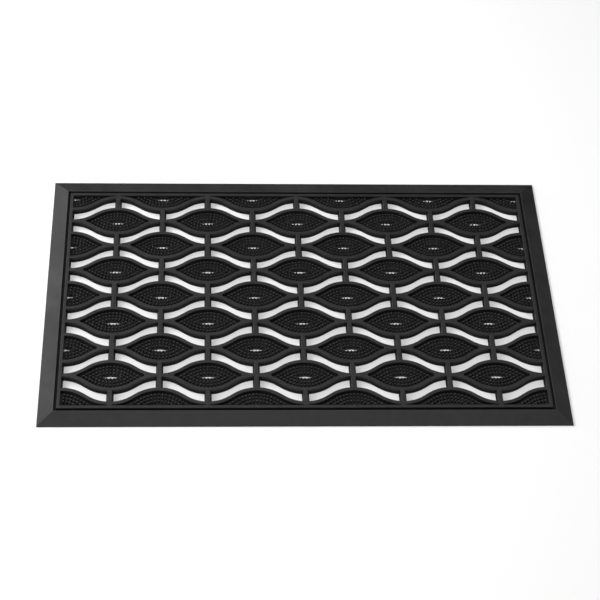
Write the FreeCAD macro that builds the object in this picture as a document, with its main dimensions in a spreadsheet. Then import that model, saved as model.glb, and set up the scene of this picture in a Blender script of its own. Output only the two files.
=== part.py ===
import FreeCAD, Part
import math
import os
import Sketcher

# A moulded rubber scraper mat: a bevelled edge, a drain groove, an inner rim, and a field of
# wavy ribs that part and join again to form rows of eye-shaped cells. Each cell has a thin
# floor with a drain hole and rings of flexible pins. The slots between the rows go through,
# with a thin ledge round each opening.
# Millimetres, +Z up. The origin is the middle of the mat's flat underside, X along its length.

Vector = FreeCAD.Vector
Rotation = FreeCAD.Rotation
Placement = FreeCAD.Placement
UP = Vector(0, 0, 1)

doc = FreeCAD.newDocument("ScraperMat")
sheet = doc.addObject("Spreadsheet::Sheet", "Sizes")

DRIVING_SIZES = [
    ("mat_length", 750),        # overall, left to right
    ("mat_width", 450),         # overall, front to back
    ("mat_height", 8),          # rib, rim and ramp crest above the floor
    ("edge_lip", 1.8),          # height of the ramp's outer edge
    ("ramp_width", 22.8),       # bevelled edge, outer edge to crest
    ("groove_width", 3.4),      # channel between ramp and rim
    ("groove_floor", 1.6),      # thickness of the channel's floor
    ("rim_width", 4.8),         # frame that the ribs end in
    ("row_inset", 3.5),         # first and last row line, inside the rim
    ("eye_columns", 5),         # full waves along the length
    ("wave_slots", 8),          # open slots, front to back
    ("rib_width", 5.2),
    ("rib_straight", 9),        # straight run between a crest and a trough
    ("tip_radius", 2),          # inside corner where two ribs meet
    ("tie_width", 6.6),         # bar that crosses a slot
    ("web_thickness", 1.2),     # floor of an eye
    ("hole_length", 21),        # drain hole in that floor
    ("hole_width", 3.4),
    ("ledge_width", 1.8),       # thin lip round each open slot, level with the eye floors
    ("pin_base", 3.0),          # diameters of a pin
    ("pin_tip", 2.2),
    ("pin_drop", 1.2),          # pin tops below the rib tops
    ("pin_pitch", 5.2),         # along a ring
    ("ring_spacing", 5.35),     # rib to first ring, and ring to ring
    ("pin_clearance", 0.8),     # least gap from a pin to the rim
]
for line_number, (alias, size) in enumerate(DRIVING_SIZES, start=1):
    sheet.set(f"A{line_number}", alias)
    sheet.set(f"B{line_number}", str(size))
    sheet.setAlias(f"B{line_number}", alias)
doc.recompute()

# Lengths that follow from the driving sizes, as expressions that any feature can be bound to.
BORDER = "(Sizes.ramp_width + Sizes.groove_width + Sizes.rim_width)"
HALF_PITCH = f"((Sizes.mat_length - 2 * {BORDER}) / (2 * Sizes.eye_columns))"
ROW_PITCH = f"((Sizes.mat_width - 2 * {BORDER} - 2 * Sizes.row_inset) / Sizes.wave_slots)"
RISE = f"({ROW_PITCH} / 2)"


def size(expression):
    """The value of an expression in the sheet's sizes."""
    return float(sheet.evalExpression(expression))


border = size(BORDER)
half_pitch = size(HALF_PITCH)
row_pitch = size(ROW_PITCH)
rise = size(RISE)
half_rib = size("Sizes.rib_width") / 2
field_x = size("Sizes.mat_length") / 2 - border
field_y = size("Sizes.mat_width") / 2 - border
columns = int(size("Sizes.eye_columns"))
slots = int(size("Sizes.wave_slots"))
rows = range(slots + 1)

# The rib's centreline: a crest arc, a straight run and a trough arc of the same radius, which
# fall by one rise over one half pitch. These give the run's slope and the arcs' radius.
straight = size("Sizes.rib_straight")
slope = 2 * math.atan(rise / (half_pitch + straight))
bend = (half_pitch - straight * math.cos(slope)) / (2 * math.sin(slope))
CREST_CENTRE = Vector(0, rise - bend, 0)
TROUGH_CENTRE = Vector(half_pitch, bend, 0)


def row_line(row):
    """Y of the line through the middles of a row's eyes."""
    return (row - slots / 2) * row_pitch


def has_eye_in_middle(row):
    """Rows take turns: an eye in the middle of the mat, or two ribs joined there."""
    return (row - slots // 2) % 2 == 1


def crosses_at_crest(row, column_line):
    """Whether a column line, counted from the mat's middle, runs through the row's eyes."""
    return (column_line % 2 == 0) == has_eye_in_middle(row)


# Edge ramps, drain channel and rim: four mitred sides each.

SIDES = {
    "front": ("Sizes.mat_length", 0, "-Sizes.mat_length / 2", "-Sizes.mat_width / 2"),
    "right": ("Sizes.mat_width", 90, "Sizes.mat_length / 2", "-Sizes.mat_width / 2"),
    "back": ("Sizes.mat_length", 180, "Sizes.mat_length / 2", "Sizes.mat_width / 2"),
    "left": ("Sizes.mat_width", 270, "-Sizes.mat_length / 2", "Sizes.mat_width / 2"),
}

# A wedge's sizes are bound one at a time, so it starts with ones that keep it valid throughout.
WEDGE_START = {
    "Xmin": 0, "Xmax": 1000, "X2min": 100, "X2max": 900,
    "Ymin": 0, "Ymax": 900,
    "Zmin": 0, "Zmax": 10, "Z2min": 0, "Z2max": 10,
}


def add_frame_side(label, side, outer, inner, outer_height, inner_height):
    """A bar along one side, from one inset to another, mitred to its neighbours."""
    length, turn, corner_x, corner_y = SIDES[side]
    bar = doc.addObject("Part::Wedge", label)
    bar.Label = label
    for name, start in WEDGE_START.items():
        setattr(bar, name, start)
    bindings = {
        "Xmin": outer,
        "Xmax": f"{length} - {outer}",
        "X2min": inner,
        "X2max": f"{length} - {inner}",
        "Ymin": outer,
        "Ymax": inner,
        "Zmax": outer_height,
        "Z2max": inner_height,
    }
    for name, expression in bindings.items():
        bar.setExpression(name, expression)
    bar.Placement = Placement(Vector(0, 0, 0), Rotation(UP, turn))
    bar.setExpression("Placement.Base.x", corner_x)
    bar.setExpression("Placement.Base.y", corner_y)
    return bar


RAMP_CREST = "Sizes.ramp_width"
RIM_OUTER = "(Sizes.ramp_width + Sizes.groove_width)"

sub_parts = []
for side_name in SIDES:
    sub_parts.append(add_frame_side(f"edge_ramp_{side_name}", side_name,
                                    "0", RAMP_CREST, "Sizes.edge_lip", "Sizes.mat_height"))
    sub_parts.append(add_frame_side(f"drain_channel_{side_name}", side_name,
                                    RAMP_CREST, RIM_OUTER, "Sizes.groove_floor", "Sizes.groove_floor"))
    sub_parts.append(add_frame_side(f"rim_{side_name}", side_name,
                                    RIM_OUTER, BORDER, "Sizes.mat_height", "Sizes.mat_height"))


# Wavy ribs. Each is one body: a half wave, mirrored to a full wave and repeated.

def origin_feature(body, role):
    return next(item for item in body.Origin.OriginFeatures if item.Role == role)


def add_arc(sketch, centre, radius, start, end):
    circle = Part.Circle(centre, UP, radius)
    return sketch.addGeometry(Part.ArcOfCircle(circle, math.radians(start), math.radians(end)), False)


def add_line(sketch, start, end):
    return sketch.addGeometry(Part.LineSegment(start, end), False)


def constrain(sketch, *arguments, expression=None):
    index = sketch.addConstraint(Sketcher.Constraint(*arguments))
    if expression:
        sketch.setExpression(f"Constraints[{index}]", expression)


def draw_half_wave(sketch, meets_neighbour):
    """The outline of a rib from a crest, at x = 0, to a trough one half pitch on.

    Where two rows' ribs join they share the trough, so each keeps the half on its own side of
    the row line, and the eye's corner between them is rounded. Elsewhere the rib stays whole.
    """
    first, last = 1, 2
    x_axis, y_axis, centre = -1, -2, 3
    turn = math.degrees(slope)
    normal = Vector(math.sin(slope), math.cos(slope), 0)
    outer, inner = bend + half_rib, bend - half_rib
    trough_foot = Vector(half_pitch, 0 if meets_neighbour else -half_rib, 0)

    crest_top = add_arc(sketch, CREST_CENTRE, outer, 90 - turn, 90)
    run_top = add_line(sketch, CREST_CENTRE + normal * outer, TROUGH_CENTRE - normal * inner)
    trough_top = add_arc(sketch, TROUGH_CENTRE, inner, 270 - turn, 270)
    trough_end = add_line(sketch, Vector(half_pitch, half_rib, 0), trough_foot)
    crest_under = add_arc(sketch, CREST_CENTRE, inner, 90 - turn, 90)
    run_under = add_line(sketch, CREST_CENTRE + normal * inner, TROUGH_CENTRE - normal * outer)
    crest_end = add_line(sketch, Vector(0, rise - half_rib, 0), Vector(0, rise + half_rib, 0))

    if meets_neighbour:
        tip_radius = size("Sizes.tip_radius")
        reach = outer + tip_radius
        tip_centre = Vector(half_pitch - math.sqrt(reach ** 2 - bend ** 2), 0, 0)
        tip_turn = math.degrees(math.acos((half_pitch - tip_centre.x) / reach))
        trough_under = add_arc(sketch, TROUGH_CENTRE, outer, 270 - turn, 180 + tip_turn)
        tip = add_arc(sketch, tip_centre, tip_radius, 0, tip_turn)
        foot = add_line(sketch, trough_foot, tip_centre + Vector(tip_radius, 0, 0))
    else:
        trough_under = add_arc(sketch, TROUGH_CENTRE, outer, 270 - turn, 270)

    constrain(sketch, "Tangent", crest_top, first, run_top, first)
    constrain(sketch, "Tangent", run_top, last, trough_top, first)
    constrain(sketch, "Tangent", crest_under, first, run_under, first)
    constrain(sketch, "Tangent", run_under, last, trough_under, first)
    constrain(sketch, "Coincident", trough_top, last, trough_end, first)
    constrain(sketch, "Coincident", crest_under, last, crest_end, first)
    constrain(sketch, "Coincident", crest_end, last, crest_top, last)
    constrain(sketch, "Coincident", crest_top, centre, crest_under, centre)
    constrain(sketch, "Coincident", trough_top, centre, trough_under, centre)
    constrain(sketch, "PointOnObject", crest_top, centre, y_axis)
    constrain(sketch, "PointOnObject", crest_end, first, y_axis)
    constrain(sketch, "Vertical", crest_end)
    constrain(sketch, "Vertical", trough_end)
    constrain(sketch, "Equal", crest_top, trough_under)
    constrain(sketch, "DistanceX", -1, 1, trough_top, centre, half_pitch, expression=HALF_PITCH)
    constrain(sketch, "DistanceX", -1, 1, trough_end, first, half_pitch, expression=HALF_PITCH)
    constrain(sketch, "DistanceY", -1, 1, crest_end, last, rise + half_rib,
              expression=f"{RISE} + Sizes.rib_width / 2")
    constrain(sketch, "DistanceY", crest_end, first, crest_end, last, 2 * half_rib,
              expression="Sizes.rib_width")
    constrain(sketch, "DistanceY", -1, 1, trough_end, first, half_rib,
              expression="Sizes.rib_width / 2")
    constrain(sketch, "Distance", run_top, straight, expression="Sizes.rib_straight")

    if meets_neighbour:
        constrain(sketch, "Coincident", trough_end, last, foot, first)
        constrain(sketch, "Coincident", foot, last, tip, first)
        constrain(sketch, "Tangent", tip, last, trough_under, last)
        constrain(sketch, "PointOnObject", trough_end, last, x_axis)
        constrain(sketch, "PointOnObject", foot, last, x_axis)
        constrain(sketch, "PointOnObject", tip, centre, x_axis)
        constrain(sketch, "Equal", crest_under, trough_top)
        constrain(sketch, "Radius", tip, tip_radius, expression="Sizes.tip_radius")
    else:
        constrain(sketch, "Coincident", trough_end, last, trough_under, last)
        constrain(sketch, "DistanceY", trough_end, last, trough_end, first, 2 * half_rib,
                  expression="Sizes.rib_width")


def add_rib(label, row, behind_row, meets_neighbour):
    """One rib along the whole field, behind or in front of its row line."""
    body = doc.addObject("PartDesign::Body", label)
    body.Label = label
    sketch = body.newObject("Sketcher::SketchObject", f"{label}_half_wave")
    sketch.AttachmentSupport = (origin_feature(body, "XY_Plane"), [""])
    sketch.MapMode = "FlatFace"
    draw_half_wave(sketch, meets_neighbour)

    pad = body.newObject("PartDesign::Pad", f"{label}_pad")
    pad.Profile = sketch
    pad.setExpression("Length", "Sizes.mat_height")

    # The full wave is centred on a crest in rows with an eye in the middle, else on a trough.
    crest_in_middle = has_eye_in_middle(row)
    mirror = body.newObject("PartDesign::Mirrored", f"{label}_full_wave")
    if crest_in_middle:
        mirror.MirrorPlane = (origin_feature(body, "YZ_Plane"), [""])
    else:
        trough_plane = body.newObject("PartDesign::Plane", f"{label}_trough_plane")
        trough_plane.AttachmentSupport = (origin_feature(body, "YZ_Plane"), [""])
        trough_plane.MapMode = "FlatFace"
        trough_plane.setExpression("AttachmentOffset.Base.z", HALF_PITCH)
        mirror.MirrorPlane = (trough_plane, [""])

    repeat = body.newObject("PartDesign::LinearPattern", f"{label}_repeat")
    repeat.Direction = (origin_feature(body, "X_Axis"), [""])
    repeat.setExpression("Occurrences", "Sizes.eye_columns")
    repeat.setExpression("Length", f"2 * {HALF_PITCH} * (Sizes.eye_columns - 1)")

    waves = body.newObject("PartDesign::MultiTransform", f"{label}_waves")
    waves.Originals = [pad]
    waves.Transformations = [mirror, repeat]
    body.Tip = waves

    half_waves_before = f"(Sizes.eye_columns - {1 if crest_in_middle else 0})"
    sign = "-" if behind_row else ""
    body.Placement = Placement(Vector(0, 0, 0), Rotation(UP, 0 if behind_row else 180))
    body.setExpression("Placement.Base.x", f"{sign}{half_waves_before} * {HALF_PITCH}")
    body.setExpression("Placement.Base.y", f"({row} - Sizes.wave_slots / 2) * {ROW_PITCH}")
    return body


front_ribs = {}     # the rib in front of each row line
back_ribs = {}      # the rib behind it
rib_number = 0
for row in rows:
    if row > rows[0]:
        rib_number += 1
        front_ribs[row] = add_rib(f"wave_rib_{rib_number:02d}", row, False, row < rows[-1])
    if row < rows[-1]:
        rib_number += 1
        back_ribs[row] = add_rib(f"wave_rib_{rib_number:02d}", row, True, row > rows[0])
sub_parts += list(front_ribs.values()) + list(back_ribs.values())


# One tie bar, one drain hole and one pin are drawn once and copied to their places.

tie_blank = doc.addObject("Part::Box", "tie_blank")
tie_blank.setExpression("Length", "Sizes.tie_width")
tie_blank.setExpression("Width", RISE)
tie_blank.setExpression("Height", "Sizes.mat_height")
tie_blank.setExpression("Placement.Base.x", "-Sizes.tie_width / 2")

rim_tie_blank = doc.addObject("Part::Box", "rim_tie_blank")
rim_tie_blank.setExpression("Length", "Sizes.tie_width")
rim_tie_blank.setExpression("Width", "Sizes.row_inset")
rim_tie_blank.setExpression("Height", "Sizes.mat_height")
rim_tie_blank.setExpression("Placement.Base.x", "-Sizes.tie_width / 2")

HOLE_ARC = "((Sizes.hole_length ^ 2 + Sizes.hole_width ^ 2) / (4 * Sizes.hole_width))"
hole_arcs = []
for arc_name, toward in (("hole_back_arc", ""), ("hole_front_arc", "-")):
    cylinder = doc.addObject("Part::Cylinder", arc_name)
    cylinder.setExpression("Radius", HOLE_ARC)
    cylinder.setExpression("Height", "Sizes.web_thickness")
    cylinder.setExpression("Placement.Base.y", f"{toward}(Sizes.hole_width / 2 - {HOLE_ARC})")
    hole_arcs.append(cylinder)
drain_hole = doc.addObject("Part::MultiCommon", "drain_hole")
drain_hole.Shapes = hole_arcs

pin = doc.addObject("Part::Cone", "pin")
pin.setExpression("Radius1", "Sizes.pin_base / 2")
pin.setExpression("Radius2", "Sizes.pin_tip / 2")
pin.setExpression("Height", "Sizes.mat_height - Sizes.pin_drop - Sizes.web_thickness")
pin.setExpression("Placement.Base.z", "Sizes.web_thickness")

doc.recompute()


def copies(blank, places):
    return [blank.Shape.translated(place) for place in places]


def add_group(label, solids, y):
    """A node of separate solids, kept in its row's own frame and placed at its row line."""
    group = doc.addObject("Part::Feature", label)
    group.Label = label
    group.Shape = Part.makeCompound([solid.translated(Vector(0, -y, 0)) for solid in solids])
    group.Placement = Placement(Vector(0, y, 0), Rotation())
    sub_parts.append(group)
    return group


# Tie bars: across each slot, and from the first and last rows' troughs to the rim.

inner_column_lines = range(1 - columns, columns)

tie_groups = []
for slot in range(slots):
    places = []
    for column_line in inner_column_lines:
        front_edge = row_line(slot) + (rise if crosses_at_crest(slot, column_line) else 0)
        places.append(Vector(column_line * half_pitch, front_edge, 0))
    bars = Part.makeCompound(copies(tie_blank, places))
    trimmed = bars.cut([back_ribs[slot].Shape, front_ribs[slot + 1].Shape])
    tie_groups.append(add_group(f"tie_bars_slot_{slot + 1}", trimmed.Solids, row_line(slot)))

rim_ties = {}
for row, bar_front, rib, end_name in (
    (rows[0], -field_y, back_ribs[rows[0]], "front"),
    (rows[-1], row_line(rows[-1]), front_ribs[rows[-1]], "back"),
):
    troughs = [line for line in inner_column_lines if not crosses_at_crest(row, line)]
    places = [Vector(line * half_pitch, bar_front, 0) for line in troughs]
    trimmed = Part.makeCompound(copies(rim_tie_blank, places)).cut(rib.Shape)
    rim_ties[row] = add_group(f"rim_ties_{end_name}", trimmed.Solids, row_line(row))


# Slot ledges: a thin lip round the foot of each opening, from tie to tie or tie to rim.

web_thickness = size("Sizes.web_thickness")
ledge_width = size("Sizes.ledge_width")


def thin_strip(front, back):
    """A floor-thick strip along the whole field."""
    return Part.makeBox(2 * field_x, back - front, web_thickness, Vector(-field_x, front, 0))


def ledge_round(opening):
    """What is left of an opening's floor when its middle, one ledge width in, is cut out."""
    underside = min(opening.Faces, key=lambda face: face.CenterOfMass.z)
    middle = Part.Face(underside.OuterWire.makeOffset2D(-ledge_width))
    return opening.cut(middle.extrude(UP * web_thickness))


for slot in range(slots):
    front, back = row_line(slot), row_line(slot + 1)
    walls = [back_ribs[slot].Shape, front_ribs[slot + 1].Shape, tie_groups[slot].Shape]
    pieces = thin_strip(front, back).cut(walls).Solids
    # What reaches a row line belongs to an eye.
    openings = [piece for piece in pieces if piece.BoundBox.YMin > front + half_rib / 2
                and piece.BoundBox.YMax < back - half_rib / 2]
    add_group(f"slot_ledges_{slot + 1}", [ledge_round(opening) for opening in openings], front)


# Eye floors: one thin panel in each eye of a row, from rib to rib or rib to rim, with its hole.

def eye_centres(row):
    column_lines = range(-columns, columns + 1)
    return [line * half_pitch for line in column_lines if crosses_at_crest(row, line)]


for row in rows:
    y = row_line(row)
    strip = thin_strip(max(y - rise, -field_y), min(y + rise, field_y))
    edges = [group[row].Shape for group in (front_ribs, back_ribs, rim_ties) if row in group]
    holes = copies(drain_hole, [Vector(x, y, 0) for x in eye_centres(row)])
    panels = strip.cut(edges + holes).Solids
    # What lies off the row line belongs to the open slots.
    floors = [panel for panel in panels if panel.BoundBox.YMin < y < panel.BoundBox.YMax]
    add_group(f"eye_floors_row_{row + 1}", floors, y)


# Pins: rings at equal offsets inside the eye, each a smaller copy of the eye's own outline.

pin_radius = size("Sizes.pin_base") / 2
ring_spacing = size("Sizes.ring_spacing")
eye_half_width = rise - half_rib
innermost = size("Sizes.hole_width") / 2 + pin_radius
ring_count = int((eye_half_width - innermost) / ring_spacing)
pin_margin = size("Sizes.pin_clearance") + pin_radius


def ring_quarter(offset):
    """Points from a ring's crest to its tip, evenly spaced, at an offset inside the rib."""
    crest_radius = bend - half_rib - offset
    trough_radius = bend + half_rib + offset
    run_start = CREST_CENTRE + Vector(math.sin(slope), math.cos(slope), 0) * crest_radius
    run_end = run_start + Vector(math.cos(slope), -math.sin(slope), 0) * straight
    crest_length = crest_radius * slope

    # The ring's tip is where it meets the row line: past the run, on it, or before it.
    if run_end.y > 0:
        tip_angle = math.acos(bend / trough_radius)
        length = crest_length + straight + trough_radius * (slope - tip_angle)
    elif run_start.y > 0:
        length = crest_length + run_start.y / math.sin(slope)
    else:
        length = crest_radius * math.acos((bend - rise) / crest_radius)

    def point_at(distance):
        if distance < crest_length:
            angle = distance / crest_radius
            return CREST_CENTRE + Vector(math.sin(angle), math.cos(angle), 0) * crest_radius
        if distance < crest_length + straight:
            along = distance - crest_length
            return run_start + Vector(math.cos(slope), -math.sin(slope), 0) * along
        angle = slope - (distance - crest_length - straight) / trough_radius
        return TROUGH_CENTRE - Vector(math.sin(angle), math.cos(angle), 0) * trough_radius

    steps = max(1, round(length / size("Sizes.pin_pitch")))
    return [point_at(length * step / steps) for step in range(steps + 1)]


def eye_pins():
    """Pin places in one whole eye, from its centre."""
    places = []
    for ring in range(1, ring_count + 1):
        quarter = ring_quarter(ring * ring_spacing)
        crest, tip = quarter[0], quarter[-1]
        places += [Vector(0, crest.y, 0), Vector(0, -crest.y, 0)]
        places += [Vector(tip.x, 0, 0), Vector(-tip.x, 0, 0)]
        for point in quarter[1:-1]:
            places += [Vector(side * point.x, end * point.y, 0) for side in (1, -1) for end in (1, -1)]
    return places


def is_inside_rim(place):
    return abs(place.x) < field_x - pin_margin and abs(place.y) < field_y - pin_margin


one_eye = eye_pins()
for row in rows:
    y = row_line(row)
    places = [Vector(x, y, 0) + offset for x in eye_centres(row) for offset in one_eye]
    places = [place for place in places if is_inside_rim(place)]
    add_group(f"scraper_pins_row_{row + 1}", copies(pin, places), y)


# Nothing is written unless every object is computed and every sub-part is sound.

doc.recompute()
for item in doc.Objects:
    if "Invalid" in item.State or "Error" in item.State:
        raise RuntimeError(f"{item.Label} failed: {item.State}")
for sub_part in sub_parts:
    if sub_part.Shape.isNull() or not sub_part.Shape.isValid() or not sub_part.Shape.Solids:
        raise RuntimeError(f"{sub_part.Label} has no valid solid")

os.makedirs("parts", exist_ok=True)
for sub_part in sub_parts:
    sub_part.Shape.exportStep(f"parts/{sub_part.Label}.step")
    solids = len(sub_part.Shape.Solids)
    print(f"{sub_part.Label}: {solids} solid(s), {sub_part.Shape.Volume / 1000:.1f} cm3")
print(f"{len(sub_parts)} sub-parts, rib bend radius {bend:.1f} mm, slope {math.degrees(slope):.1f}")
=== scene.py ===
import math
import random

import bmesh
import bpy
from mathutils import Matrix, Vector


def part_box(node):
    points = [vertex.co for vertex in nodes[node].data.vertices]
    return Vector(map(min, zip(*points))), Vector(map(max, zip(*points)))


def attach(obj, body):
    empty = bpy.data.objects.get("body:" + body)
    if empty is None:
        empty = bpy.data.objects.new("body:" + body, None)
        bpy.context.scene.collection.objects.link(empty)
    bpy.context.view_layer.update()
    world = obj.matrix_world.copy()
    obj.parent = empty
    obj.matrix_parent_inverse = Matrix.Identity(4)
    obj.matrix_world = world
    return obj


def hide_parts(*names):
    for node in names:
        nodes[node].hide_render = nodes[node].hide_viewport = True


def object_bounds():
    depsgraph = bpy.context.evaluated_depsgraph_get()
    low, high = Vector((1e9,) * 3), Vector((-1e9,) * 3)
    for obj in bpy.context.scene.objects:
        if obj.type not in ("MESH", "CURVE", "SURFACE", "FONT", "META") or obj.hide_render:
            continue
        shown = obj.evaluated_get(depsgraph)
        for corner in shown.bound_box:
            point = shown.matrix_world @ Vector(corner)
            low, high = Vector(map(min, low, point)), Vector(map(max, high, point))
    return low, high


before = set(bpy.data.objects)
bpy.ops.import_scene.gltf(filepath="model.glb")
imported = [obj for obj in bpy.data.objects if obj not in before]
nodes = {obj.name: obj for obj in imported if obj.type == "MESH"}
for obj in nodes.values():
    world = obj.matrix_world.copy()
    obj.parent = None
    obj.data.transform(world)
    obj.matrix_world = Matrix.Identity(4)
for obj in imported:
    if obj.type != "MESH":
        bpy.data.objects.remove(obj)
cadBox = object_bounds()
sceneRandom = random.Random(41)

sides = ("front", "right", "back", "left")
tiny = 2e-6    # metres, for welding and for telling faces that share a plane
flatAngle = 0.3    # degrees between faces that count as one flat face


# node groups used by more than one rubber

def newGroup(name, inputs, outputs):
    group = bpy.data.node_groups.new(name, "ShaderNodeTree")
    for socketName, socketType, value in inputs:
        socket = group.interface.new_socket(socketName, in_out="INPUT", socket_type=socketType)
        if value is not None:
            socket.default_value = value
    for socketName, socketType in outputs:
        group.interface.new_socket(socketName, in_out="OUTPUT", socket_type=socketType)
    return group, group.nodes.new("NodeGroupInput"), group.nodes.new("NodeGroupOutput")


def addNode(tree, kind, values=None, **settings):
    node = tree.nodes.new(kind)
    for name, value in settings.items():
        setattr(node, name, value)
    for name, value in (values or {}).items():
        node.inputs[name].default_value = value
    return node


def addMath(tree, operation, first, second=None, clamp=False):
    node = addNode(tree, "ShaderNodeMath", operation=operation, use_clamp=clamp)
    for slot, value in enumerate((first, second)):
        if isinstance(value, bpy.types.NodeSocket):
            tree.links.new(value, node.inputs[slot])
        elif value is not None:
            node.inputs[slot].default_value = value
    return node.outputs[0]


def addRange(tree, value, low, high, outLow=0.0, outHigh=1.0, smooth=True):
    node = addNode(tree, "ShaderNodeMapRange", interpolation_type="SMOOTHSTEP" if smooth else "LINEAR")
    tree.links.new(value, node.inputs["Value"])
    for name, given in (("From Min", low), ("From Max", high), ("To Min", outLow), ("To Max", outHigh)):
        if isinstance(given, bpy.types.NodeSocket):
            tree.links.new(given, node.inputs[name])
        else:
            node.inputs[name].default_value = given
    return node.outputs["Result"]


def addNoise(tree, vector, scale, detail=3.0, roughness=0.55):
    node = addNode(tree, "ShaderNodeTexNoise", {"Detail": detail, "Roughness": roughness})
    tree.links.new(vector, node.inputs["Vector"])
    if isinstance(scale, bpy.types.NodeSocket):
        tree.links.new(scale, node.inputs["Scale"])
    else:
        node.inputs["Scale"].default_value = scale
    return node.outputs["Fac"]


def addMix(tree, factor, first, second, blend="MIX"):
    node = addNode(tree, "ShaderNodeMix", data_type="RGBA", blend_type=blend)
    for name, value in ((0, factor), (6, first), (7, second)):
        if isinstance(value, bpy.types.NodeSocket):
            tree.links.new(value, node.inputs[name])
        else:
            node.inputs[name].default_value = value
    return node.outputs[2]


toneShape = {"blotchShare": 0.6, "cloudShare": 0.4, "low": 0.34, "high": 0.66,
             "speckLow": 0.6, "speckHigh": 0.72}
wearShape = {"low": 0.36, "high": 0.64, "least": 0.35}
dustShape = {"steep": 0.2, "level": 0.9, "leastHigh": 0.25, "low": 0.38, "high": 0.7}
scuffShape = {"low": 0.56, "high": 0.74, "patchScale": 14.0, "patchLow": 0.42, "patchHigh": 0.62}


def makeMouldTone():    # the batch's uneven black: broad blotches, finer clouding and pale specks
    group, given, put = newGroup("mouldTone", [
        ("Vector", "NodeSocketVector", None), ("Deep", "NodeSocketColor", (0.02, 0.02, 0.02, 1)),
        ("Pale", "NodeSocketColor", (0.04, 0.04, 0.04, 1)), ("Blotch Scale", "NodeSocketFloat", 9.0),
        ("Cloud Scale", "NodeSocketFloat", 120.0), ("Speck Scale", "NodeSocketFloat", 900.0),
        ("Speck Amount", "NodeSocketFloat", 0.3)],
        [("Color", "NodeSocketColor"), ("Tone", "NodeSocketFloat")])
    blotch = addNoise(group, given.outputs["Vector"], given.outputs["Blotch Scale"], 4.0, 0.6)
    cloud = addNoise(group, given.outputs["Vector"], given.outputs["Cloud Scale"], 4.0, 0.6)
    speck = addNoise(group, given.outputs["Vector"], given.outputs["Speck Scale"], 2.0, 0.5)
    blend = addMath(group, "ADD", addMath(group, "MULTIPLY", blotch, toneShape["blotchShare"]),
                    addMath(group, "MULTIPLY", cloud, toneShape["cloudShare"]))
    tone = addRange(group, blend, toneShape["low"], toneShape["high"])
    spots = addMath(group, "MULTIPLY", addRange(group, speck, toneShape["speckLow"], toneShape["speckHigh"]),
                    given.outputs["Speck Amount"])
    tone = addMath(group, "ADD", tone, spots, clamp=True)
    group.links.new(addMix(group, tone, given.outputs["Deep"], given.outputs["Pale"]), put.inputs["Color"])
    group.links.new(tone, put.inputs["Tone"])
    return group


def makeRubberGrain():    # the mould's matt skin: a fine grain over a slow orange peel
    group, given, put = newGroup("rubberGrain", [
        ("Vector", "NodeSocketVector", None), ("Grain Scale", "NodeSocketFloat", 2600.0),
        ("Peel Scale", "NodeSocketFloat", 420.0), ("Grain Share", "NodeSocketFloat", 0.5)],
        [("Height", "NodeSocketFloat")])
    grain = addNoise(group, given.outputs["Vector"], given.outputs["Grain Scale"], 2.0, 0.5)
    peel = addNoise(group, given.outputs["Vector"], given.outputs["Peel Scale"], 3.0, 0.5)
    share = addMath(group, "MULTIPLY", grain, given.outputs["Grain Share"])
    rest = addMath(group, "MULTIPLY", peel, addMath(group, "SUBTRACT", 1.0, given.outputs["Grain Share"]))
    group.links.new(addMath(group, "ADD", share, rest), put.inputs["Height"])
    return group


def makeRubbedTops():    # grey wear where feet reach, above a height, broken up along the piece
    group, given, put = newGroup("rubbedTops", [
        ("Vector", "NodeSocketVector", None), ("Low Height", "NodeSocketFloat", 0.0066),
        ("High Height", "NodeSocketFloat", 0.008), ("Break Scale", "NodeSocketFloat", 160.0),
        ("Amount", "NodeSocketFloat", 0.7)], [("Mask", "NodeSocketFloat")])
    split = addNode(group, "ShaderNodeSeparateXYZ")
    group.links.new(given.outputs["Vector"], split.inputs[0])
    reach = addRange(group, split.outputs["Z"], given.outputs["Low Height"], given.outputs["High Height"])
    patches = addNoise(group, given.outputs["Vector"], given.outputs["Break Scale"], 5.0, 0.65)
    breakUp = addRange(group, patches, wearShape["low"], wearShape["high"], wearShape["least"], 1.0)
    mask = addMath(group, "MULTIPLY", addMath(group, "MULTIPLY", reach, breakUp),
                   given.outputs["Amount"], True)
    group.links.new(mask, put.inputs["Mask"])
    return group


def makeSettledDust():    # pale dust on faces that look up, thickest low down
    group, given, put = newGroup("settledDust", [
        ("Vector", "NodeSocketVector", None), ("Normal", "NodeSocketVector", None),
        ("Clear Height", "NodeSocketFloat", 0.007), ("Patch Scale", "NodeSocketFloat", 45.0),
        ("Amount", "NodeSocketFloat", 0.3)], [("Mask", "NodeSocketFloat")])
    split = addNode(group, "ShaderNodeSeparateXYZ")
    group.links.new(given.outputs["Vector"], split.inputs[0])
    facing = addNode(group, "ShaderNodeSeparateXYZ")
    group.links.new(given.outputs["Normal"], facing.inputs[0])
    upward = addRange(group, facing.outputs["Z"], dustShape["steep"], dustShape["level"])
    low = addRange(group, split.outputs["Z"], 0.0, given.outputs["Clear Height"], 1.0, dustShape["leastHigh"])
    patch = addRange(group, addNoise(group, given.outputs["Vector"], given.outputs["Patch Scale"], 5.0, 0.6),
                     dustShape["low"], dustShape["high"])
    mask = addMath(group, "MULTIPLY", addMath(group, "MULTIPLY", upward, low),
                   addMath(group, "MULTIPLY", patch, given.outputs["Amount"]), True)
    group.links.new(mask, put.inputs["Mask"])
    return group


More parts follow.
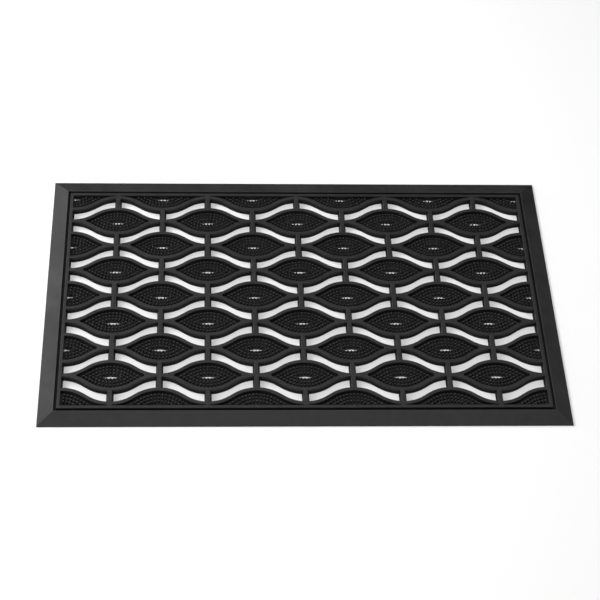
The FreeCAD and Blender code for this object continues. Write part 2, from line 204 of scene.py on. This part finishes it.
def makeDragMarks():    # faint scuffs drawn out along one direction
    group, given, put = newGroup("dragMarks", [
        ("Vector", "NodeSocketVector", None), ("Stretch", "NodeSocketVector", (1.0, 12.0, 1.0)),
        ("Scale", "NodeSocketFloat", 60.0), ("Amount", "NodeSocketFloat", 0.4)],
        [("Mask", "NodeSocketFloat")])
    drawn = addNode(group, "ShaderNodeVectorMath", operation="MULTIPLY")
    group.links.new(given.outputs["Vector"], drawn.inputs[0])
    group.links.new(given.outputs["Stretch"], drawn.inputs[1])
    marks = addRange(group, addNoise(group, drawn.outputs[0], given.outputs["Scale"], 4.0, 0.7),
                     scuffShape["low"], scuffShape["high"])
    where = addRange(group, addNoise(group, given.outputs["Vector"], scuffShape["patchScale"], 3.0, 0.5),
                     scuffShape["patchLow"], scuffShape["patchHigh"])
    mask = addMath(group, "MULTIPLY", addMath(group, "MULTIPLY", marks, where), given.outputs["Amount"], True)
    group.links.new(mask, put.inputs["Mask"])
    return group


mouldTone = makeMouldTone()
rubberGrain = makeRubberGrain()
rubbedTops = makeRubbedTops()
settledDust = makeSettledDust()
dragMarks = makeDragMarks()
print("node groups made")


# rubbers

def placeGroup(tree, group, values=None, links=None):
    node = addNode(tree, "ShaderNodeGroup", node_tree=group)
    for name, value in (values or {}).items():
        node.inputs[name].default_value = value
    for name, socket in (links or {}).items():
        tree.links.new(socket, node.inputs[name])
    return node


def makeRubber(name, look):
    rubber = bpy.data.materials.new(name)
    rubber.use_nodes = True
    tree = rubber.node_tree
    shader = tree.nodes["Principled BSDF"]
    shader.inputs["Specular IOR Level"].default_value = look["gloss"]
    coordinates = addNode(tree, "ShaderNodeTexCoord")
    mapping = addNode(tree, "ShaderNodeMapping", {"Location": look["patternOffset"]})
    tree.links.new(coordinates.outputs["Object"], mapping.inputs["Vector"])
    place, real = mapping.outputs["Vector"], coordinates.outputs["Object"]
    surface = addNode(tree, "ShaderNodeNewGeometry")

    tone = placeGroup(tree, mouldTone, {
        "Deep": look["deep"], "Pale": look["pale"], "Blotch Scale": look["blotchScale"],
        "Cloud Scale": look["cloudScale"], "Speck Amount": look["specks"]}, {"Vector": place})
    color = tone.outputs["Color"]
    dust = placeGroup(tree, settledDust, {
        "Amount": look["dust"], "Clear Height": look["dustClear"]},
        {"Vector": real, "Normal": surface.outputs["Normal"]})
    color = addMix(tree, dust.outputs["Mask"], color, look["dustColor"])
    wear = placeGroup(tree, rubbedTops, {
        "Amount": look["wear"], "Low Height": look["wearLow"], "High Height": look["wearHigh"],
        "Break Scale": look["wearBreak"]}, {"Vector": real})
    color = addMix(tree, wear.outputs["Mask"], color, look["wearColor"])
    scuffs = placeGroup(tree, dragMarks, {
        "Amount": look["scuffs"], "Stretch": look["scuffStretch"], "Scale": look["scuffScale"]},
        {"Vector": place})
    color = addMix(tree, scuffs.outputs["Mask"], color, look["scuffColor"])
    if "tintName" in look:    # each pin's own shade
        tint = addNode(tree, "ShaderNodeAttribute", attribute_type="GEOMETRY",
                       attribute_name=look["tintName"])
        shade = addRange(tree, tint.outputs["Fac"], 0.0, 1.0, look["tintLow"], look["tintHigh"], smooth=False)
        scaled = addNode(tree, "ShaderNodeVectorMath", operation="SCALE")
        tree.links.new(color, scaled.inputs[0])
        tree.links.new(shade, scaled.inputs["Scale"])
        color = scaled.outputs[0]
    tree.links.new(color, shader.inputs["Base Color"])

    roughness = addRange(tree, tone.outputs["Tone"], 0.0, 1.0, look["roughLow"], look["roughHigh"],
                         smooth=False)
    tree.links.new(roughness, shader.inputs["Roughness"])
    grain = placeGroup(tree, rubberGrain, {
        "Grain Scale": look["grainScale"], "Peel Scale": look["peelScale"],
        "Grain Share": look["grainShare"]},
        {"Vector": place})
    bump = addNode(tree, "ShaderNodeBump", {"Strength": look["bump"], "Distance": look["bumpDepth"]})
    tree.links.new(grain.outputs["Height"], bump.inputs["Height"])
    tree.links.new(bump.outputs["Normal"], shader.inputs["Normal"])
    return rubber


def grey(value, warmth=0.0):
    return (value * (1 + warmth), value, value * (1 - warmth), 1)


rampLook = {
    "deep": grey(0.0075), "pale": grey(0.0170), "blotchScale": 11.0, "cloudScale": 70.0, "specks": 0.5,
    "patternOffset": (0.13, 0.07, 0.0), "gloss": 0.24, "roughLow": 0.48, "roughHigh": 0.62,
    "dust": 0.18, "dustClear": 0.012, "dustColor": grey(0.026, 0.03),
    "wear": 0.55, "wearLow": 0.0070, "wearHigh": 0.0081, "wearBreak": 130.0, "wearColor": grey(0.03),
    "scuffs": 0.3, "scuffStretch": (1.0, 5.0, 1.0), "scuffScale": 90.0, "scuffColor": grey(0.027),
    "grainScale": 2400.0, "peelScale": 330.0, "grainShare": 0.45, "bump": 0.5, "bumpDepth": 0.00018,
}
# channel rubber: its darker deep and pale are painted shade for the sunken drain groove; its dust and dull
# finish are real
channelPaintedShadeLook = dict(rampLook, deep=grey(0.005), pale=grey(0.008), dust=0.35, dustClear=0.006,
                   wear=0.0, scuffs=0.1, roughLow=0.6, roughHigh=0.75)
ribLook = dict(rampLook, deep=grey(0.0085), pale=grey(0.0135), patternOffset=(0.31, 0.22, 0.0),
               wear=0.6, wearLow=0.0072, wearHigh=0.0080, wearBreak=210.0, wearColor=grey(0.024),
               dust=0.6, dustClear=0.007, scuffs=0.25, scuffStretch=(1.0, 1.6, 1.0), scuffScale=150.0,
               roughLow=0.42, roughHigh=0.58)
# eye-floor rubber, also used on the slot ledges: its darker deep and pale are painted shade for floors sunk
# among the pins and at the foot of the walls; its dust is real
floorDustAndPaintedShadeLook = dict(channelPaintedShadeLook, deep=grey(0.0045), pale=grey(0.008), dust=0.3, patternOffset=(0.52, 0.41, 0.0))
pinLook = dict(ribLook, deep=grey(0.006), pale=grey(0.010), patternOffset=(0.77, 0.63, 0.0),
               wear=0.7, wearLow=0.0050, wearHigh=0.0069, wearBreak=300.0, wearColor=grey(0.052),
               scuffs=0.1, tintName="pinTint", tintLow=0.7, tintHigh=1.35, roughLow=0.5, roughHigh=0.65)

rampRubber = makeRubber("satinEdgeRubber", rampLook)
channelPaintedShadeRubber = makeRubber("dullChannelRubberPaintedShade", channelPaintedShadeLook)
ribRubber = makeRubber("wornRibRubber", ribLook)
floorDustAndPaintedShadeRubber = makeRubber("dustyEyeFloorRubberPaintedShade", floorDustAndPaintedShadeLook)
pinRubber = makeRubber("mattPinRubber", pinLook)
print("rubbers made")


# helpers for shapes

def weldedCopy(nodeName):    # a CAD node's mesh, merged, with its flat faces whole again
    shape = bmesh.new()
    shape.from_mesh(nodes[nodeName].data)
    bmesh.ops.remove_doubles(shape, verts=shape.verts, dist=tiny)
    bmesh.ops.dissolve_limit(shape, angle_limit=math.radians(flatAngle), use_dissolve_boundaries=False,
                             verts=shape.verts, edges=shape.edges, delimit=set())
    return shape


def islands(shape):    # the loose parts of a mesh, each as its vertices
    found, seen = [], set()
    for start in shape.verts:
        if start in seen:
            continue
        seen.add(start)
        part, waiting = [], [start]
        while waiting:
            vert = waiting.pop()
            part.append(vert)
            for edge in vert.link_edges:
                other = edge.other_vert(vert)
                if other not in seen:
                    seen.add(other)
                    waiting.append(other)
        found.append(part)
    return found


def boxOf(verts):
    corners = [[pick(vert.co[axis] for vert in verts) for axis in range(3)] for pick in (min, max)]
    return Vector(corners[0]), Vector(corners[1])


def roundEdges(shape, edges, radius, segments=3):
    if edges:
        bmesh.ops.bevel(shape, geom=edges, offset=radius, offset_type="OFFSET", segments=segments,
                        profile=0.5, affect="EDGES", material=-1, clamp_overlap=True)


def topOutline(shape, height):    # edges between a flat top at this height and a wall
    found = []
    for edge in shape.edges:
        if len(edge.link_faces) != 2 or any(abs(vert.co.z - height) > 2 * tiny for vert in edge.verts):
            continue
        slopes = sorted(abs(face.normal.z) for face in edge.link_faces)
        if slopes[0] < 0.7 < slopes[1]:
            found.append(edge)
    return found


def finishPiece(shape, name, material, replaced):
    mesh = bpy.data.meshes.new(name)
    for face in shape.faces:
        face.smooth = True
    shape.to_mesh(mesh)
    shape.free()
    mesh.materials.append(material)
    piece = bpy.data.objects.new(name, mesh)
    bpy.context.scene.collection.objects.link(piece)
    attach(piece, "root")
    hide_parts(*replaced)
    return piece


def crispFaces(piece, angle=50):    # flat faces stay flat, rounded edges stay soft
    shape = bmesh.new()
    shape.from_mesh(piece.data)
    for edge in shape.edges:
        edge.smooth = len(edge.link_faces) == 2 and edge.calc_face_angle(0.0) < math.radians(angle)
    shape.to_mesh(piece.data)
    shape.free()
    weighted = piece.modifiers.new("weightedNormals", "WEIGHTED_NORMAL")
    weighted.keep_sharp = True
    weighted.weight = 60


# bevelled edge, drain channel and rim

edgeSizes = {"crestRadius": 0.0011, "lipRadius": 0.0006, "rimRadius": 0.0006, "segments": 4,
             "shortestRun": 0.1}    # a ramp's long edges are all longer than this


def alongSide(edge, side):    # true for an edge that runs along its side, not across a mitre
    run = edge.verts[1].co - edge.verts[0].co
    return abs(run.normalized()[0 if side in ("front", "back") else 1]) > 0.999


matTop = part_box("rim_front")[1].z
for side in sides:
    ramp = weldedCopy(f"edge_ramp_{side}")
    runs = [edge for edge in ramp.edges
            if alongSide(edge, side) and edge.calc_length() > edgeSizes["shortestRun"]]
    crest = [edge for edge in runs if min(vert.co.z for vert in edge.verts) > matTop - tiny]
    roundEdges(ramp, crest, edgeSizes["crestRadius"], edgeSizes["segments"])
    lip = [edge for edge in ramp.edges if alongSide(edge, side)
           and all(tiny < vert.co.z < matTop / 2 for vert in edge.verts)]
    roundEdges(ramp, lip, edgeSizes["lipRadius"], edgeSizes["segments"])
    crispFaces(finishPiece(ramp, f"bevelled_edge_{side}", rampRubber, [f"edge_ramp_{side}"]))

    channel = weldedCopy(f"drain_channel_{side}")
    crispFaces(finishPiece(channel, f"drain_gutter_{side}", channelPaintedShadeRubber,
                           [f"drain_channel_{side}"]))

    rim = weldedCopy(f"rim_{side}")
    roundEdges(rim, [edge for edge in topOutline(rim, matTop) if alongSide(edge, side)],
               edgeSizes["rimRadius"], edgeSizes["segments"])
    crispFaces(finishPiece(rim, f"inner_rim_{side}", ribRubber, [f"rim_{side}"]))
print("edge, channel and rim made")


# wavy ribs

ribSizes = {"edgeRadius": 0.00055, "segments": 3, "reachIntoRim": 0.0009, "tuckedUnder": 0.00002}
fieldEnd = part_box("rim_right")[0].x    # the rim's inner face, where ribs end
ribNames = sorted(name for name in nodes if name.startswith("wave_rib_"))

for ribName in ribNames:
    rib = weldedCopy(ribName)
    low, high = boxOf(rib.verts)

    def isShared(edge):    # on a face shared with the next rib or with the rim
        ends = [vert.co for vert in edge.verts]
        return (all(abs(abs(end.x) - fieldEnd) < 2 * tiny for end in ends)
                or all(abs(end.y - low.y) < 2 * tiny for end in ends)
                or all(abs(end.y - high.y) < 2 * tiny for end in ends))

    roundEdges(rib, [edge for edge in topOutline(rib, matTop) if not isShared(edge)],
               ribSizes["edgeRadius"], ribSizes["segments"])
    for vert in rib.verts:    # the rib's ends run on into the rim
        if abs(abs(vert.co.x) - fieldEnd) < 2 * tiny:
            vert.co.x += math.copysign(ribSizes["reachIntoRim"], vert.co.x)
            vert.co.z = min(vert.co.z, matTop - ribSizes["tuckedUnder"])
    crispFaces(finishPiece(rib, ribName.replace("wave_rib", "wavy_rib"), ribRubber, [ribName]))
print("ribs made")


# tie bars

tieSizes = {"edgeRadius": 0.0007, "segments": 3, "reachIntoRib": 0.0009, "tuckedUnder": 0.00003}


def makeTies(nodeName, pieceName):
    places = weldedCopy(nodeName)
    ties = bmesh.new()
    for part in islands(places):
        low, high = boxOf(part)
        reach = tieSizes["reachIntoRib"]
        made = bmesh.ops.create_cube(ties, size=1.0)["verts"]
        size = Vector((high.x - low.x, high.y - low.y + 2 * reach, high.z - low.z - tieSizes["tuckedUnder"]))
        bmesh.ops.scale(ties, verts=made, vec=size)
        bmesh.ops.translate(ties, verts=made, vec=Vector(((low.x + high.x) / 2, (low.y + high.y) / 2,
                                                           low.z + size.z / 2)))
    places.free()
    topHeight = max(vert.co.z for vert in ties.verts)
    roundEdges(ties, [edge for edge in topOutline(ties, topHeight) if alongSide(edge, "left")],
               tieSizes["edgeRadius"], tieSizes["segments"])
    crispFaces(finishPiece(ties, pieceName, ribRubber, [nodeName]))


slotCount = sum(name.startswith("tie_bars_slot_") for name in nodes)
for slotNumber in range(1, slotCount + 1):
    makeTies(f"tie_bars_slot_{slotNumber}", f"slot_ties_{slotNumber}")
for end in ("front", "back"):
    makeTies(f"rim_ties_{end}", f"end_ties_{end}")
print("ties made")


# eye floors

floorSizes = {"holeRadius": 0.0003, "segments": 2}


def holeOutline(shape, height):    # top edges whose wall faces the middle of its own panel
    found = []
    outline = set(topOutline(shape, height))
    for part in islands(shape):
        low, high = boxOf(part)
        middle = (low + high) / 2
        for edge in {edge for vert in part for edge in vert.link_edges} & outline:
            wall = min(edge.link_faces, key=lambda face: abs(face.normal.z))
            if wall.normal.dot(middle - (edge.verts[0].co + edge.verts[1].co) / 2) > 0:
                found.append(edge)
    return sorted(found, key=lambda edge: edge.index)


rowCount = sum(name.startswith("eye_floors_row_") for name in nodes)

for rowNumber in range(1, rowCount + 1):
    panel = weldedCopy(f"eye_floors_row_{rowNumber}")
    panel.edges.index_update()
    roundEdges(panel, holeOutline(panel, max(vert.co.z for vert in panel.verts)),
               floorSizes["holeRadius"], floorSizes["segments"])
    crispFaces(finishPiece(panel, f"drained_floor_{rowNumber}", floorDustAndPaintedShadeRubber,
                           [f"eye_floors_row_{rowNumber}"]))
print("eye floors made")


# ledges round the slots

for slotNumber in range(1, slotCount + 1):
    ledge = weldedCopy(f"slot_ledges_{slotNumber}")
    # the ledges take the eye-floor rubber, whose darker tone is painted shade at the foot of the slot walls
    crispFaces(finishPiece(ledge, f"slot_lip_{slotNumber}", floorDustAndPaintedShadeRubber,
                           [f"slot_ledges_{slotNumber}"]))
print("ledges made")


# scraper pins

pinSizes = {"sides": 8, "tipRound": 0.00035, "tipSegments": 2, "lean": 4.0, "shorter": 0.04, "narrower": 0.08}


def makePinBlank(low, high, tipRadius):    # one pin, standing at the origin
    pin = bmesh.new()
    height = high.z - low.z
    bmesh.ops.create_cone(pin, cap_ends=True, segments=pinSizes["sides"], radius1=(high.x - low.x) / 2,
                          radius2=tipRadius, depth=height)
    bmesh.ops.translate(pin, verts=pin.verts, vec=Vector((0, 0, height / 2)))
    tipEdges = [edge for edge in pin.edges if all(vert.co.z > height - tiny for vert in edge.verts)]
    roundEdges(pin, tipEdges, pinSizes["tipRound"], pinSizes["tipSegments"])
    under = [face for face in pin.faces if all(vert.co.z < tiny for vert in face.verts)]
    bmesh.ops.delete(pin, geom=under, context="FACES_ONLY")    # it grows out of the eye's floor
    blank = bpy.data.meshes.new("pinBlank")
    pin.to_mesh(blank)
    pin.free()
    return blank


def makePins(rowNumber):
    nodeName = f"scraper_pins_row_{rowNumber}"
    places = bmesh.new()
    places.from_mesh(nodes[nodeName].data)
    bmesh.ops.remove_doubles(places, verts=places.verts, dist=tiny)
    spots = [boxOf(part) for part in islands(places)]
    low, high = spots[0]
    topVerts = [vert for vert in islands(places)[0] if vert.co.z > high.z - tiny]
    topLow, topHigh = boxOf(topVerts)
    places.free()
    blank = makePinBlank(low, high, (topHigh.x - topLow.x) / 2)
    row = bmesh.new()
    tintLayer = row.verts.layers.float.new("pinTint")
    for low, high in spots:
        before = len(row.verts)
        row.from_mesh(blank)
        row.verts.ensure_lookup_table()
        added = row.verts[before:]
        lean = math.radians(pinSizes["lean"])
        turn = Matrix.Rotation(sceneRandom.uniform(0, math.tau), 4, "Z")
        tilt = Matrix.Rotation(sceneRandom.gauss(0, lean / 2), 4, "X") @ Matrix.Rotation(
            sceneRandom.gauss(0, lean / 2), 4, "Y")
        shrink = Matrix.Diagonal((1 - sceneRandom.uniform(0, pinSizes["narrower"]),) * 2
                                 + (1 - sceneRandom.uniform(0, pinSizes["shorter"]), 1))
        centre = Vector(((low.x + high.x) / 2, (low.y + high.y) / 2, low.z))
        bmesh.ops.transform(row, matrix=Matrix.Translation(centre) @ tilt @ turn @ shrink, verts=added)
        tint = sceneRandom.random()
        for vert in added:
            vert[tintLayer] = tint
    bpy.data.meshes.remove(blank)
    return finishPiece(row, f"scraping_pins_{rowNumber}", pinRubber, [nodeName])


for rowNumber in range(1, rowCount + 1):
    makePins(rowNumber)
print("pins made")


# floor, light and camera

stageLook = {"floorSize": 40.0, "floorGrey": 0.86, "floorRoughness": 0.9, "floorGap": 0.0001,
             "worldGrey": 1.0, "worldStrength": 0.1}

floorShape = bmesh.new()
bmesh.ops.create_grid(floorShape, x_segments=1, y_segments=1, size=stageLook["floorSize"] / 2)
bmesh.ops.translate(floorShape, verts=floorShape.verts, vec=Vector((0, 0, cadBox[0].z - stageLook["floorGap"])))
floorMesh = bpy.data.meshes.new("studioFloor")
floorShape.to_mesh(floorMesh)
floorShape.free()
studioFloor = bpy.data.objects.new("studioFloor", floorMesh)
bpy.context.scene.collection.objects.link(studioFloor)
floorMaterial = bpy.data.materials.new("palePaper")
floorMaterial.use_nodes = True
floorShader = floorMaterial.node_tree.nodes["Principled BSDF"]
floorShader.inputs["Base Color"].default_value = grey(stageLook["floorGrey"])
floorShader.inputs["Roughness"].default_value = stageLook["floorRoughness"]
floorMesh.materials.append(floorMaterial)

world = bpy.data.worlds.new("studioWorld")
world.use_nodes = True
world.node_tree.nodes["Background"].inputs["Color"].default_value = grey(stageLook["worldGrey"])
world.node_tree.nodes["Background"].inputs["Strength"].default_value = stageLook["worldStrength"]
bpy.context.scene.world = world

matCentre = (cadBox[0] + cadBox[1]) / 2
softBoxes = {    # place and size in metres from the middle of the mat, power in watts
    "leftLow": {"place": (-2.4, 0.0, 0.8), "size": 1.6, "power": 41.0},
    "leftBack": {"place": (-1.8, 1.6, 1.3), "size": 0.9, "power": 50.0},
    "leftFront": {"place": (-1.8, -1.4, 1.4), "size": 1.6, "power": 20.0},
    "front": {"place": (0.3, -2.3, 0.8), "size": 1.4, "power": 9.0},
    "overhead": {"place": (0.0, 0.1, 2.6), "size": 1.6, "power": 32.0},
    "right": {"place": (2.2, 0.3, 1.6), "size": 1.6, "power": 15.0},
}
for boxName, box in softBoxes.items():
    light = bpy.data.lights.new(boxName, "AREA")
    light.shape = "SQUARE"
    light.size = box["size"]
    light.energy = box["power"]
    lamp = bpy.data.objects.new(boxName, light)
    lamp.location = matCentre + Vector(box["place"])
    lamp.rotation_euler = (matCentre - lamp.location).to_track_quat("-Z", "Y").to_euler()
    bpy.context.scene.collection.objects.link(lamp)

cameraLook = {"heading": 4.194, "down": 52.525, "roll": 3.38, "lens": 91.2, "shift": 0.05,
              "place": (-0.1458, -1.3679, 1.7847)}
heading, down, roll = (math.radians(cameraLook[name]) for name in ("heading", "down", "roll"))
forward = Vector((math.sin(heading) * math.cos(down), math.cos(heading) * math.cos(down), -math.sin(down)))
level = Vector((math.cos(heading), -math.sin(heading), 0))
upright = level.cross(forward)
right = math.cos(roll) * level + math.sin(roll) * upright
up = math.cos(roll) * upright - math.sin(roll) * level
viewCamera = bpy.data.cameras.new("viewCamera")
viewCamera.lens = cameraLook["lens"]
viewCamera.sensor_width = 36.0
viewCamera.shift_x = cameraLook["shift"]
camera = bpy.data.objects.new("viewCamera", viewCamera)
camera.matrix_world = Matrix((
    (right.x, up.x, -forward.x, cameraLook["place"][0]), (right.y, up.y, -forward.y, cameraLook["place"][1]),
    (right.z, up.z, -forward.z, cameraLook["place"][2]), (0, 0, 0, 1)))
bpy.context.scene.collection.objects.link(camera)
bpy.context.scene.camera = camera
bpy.context.scene.view_settings.view_transform = "Standard"
print("stage, lights and camera set")
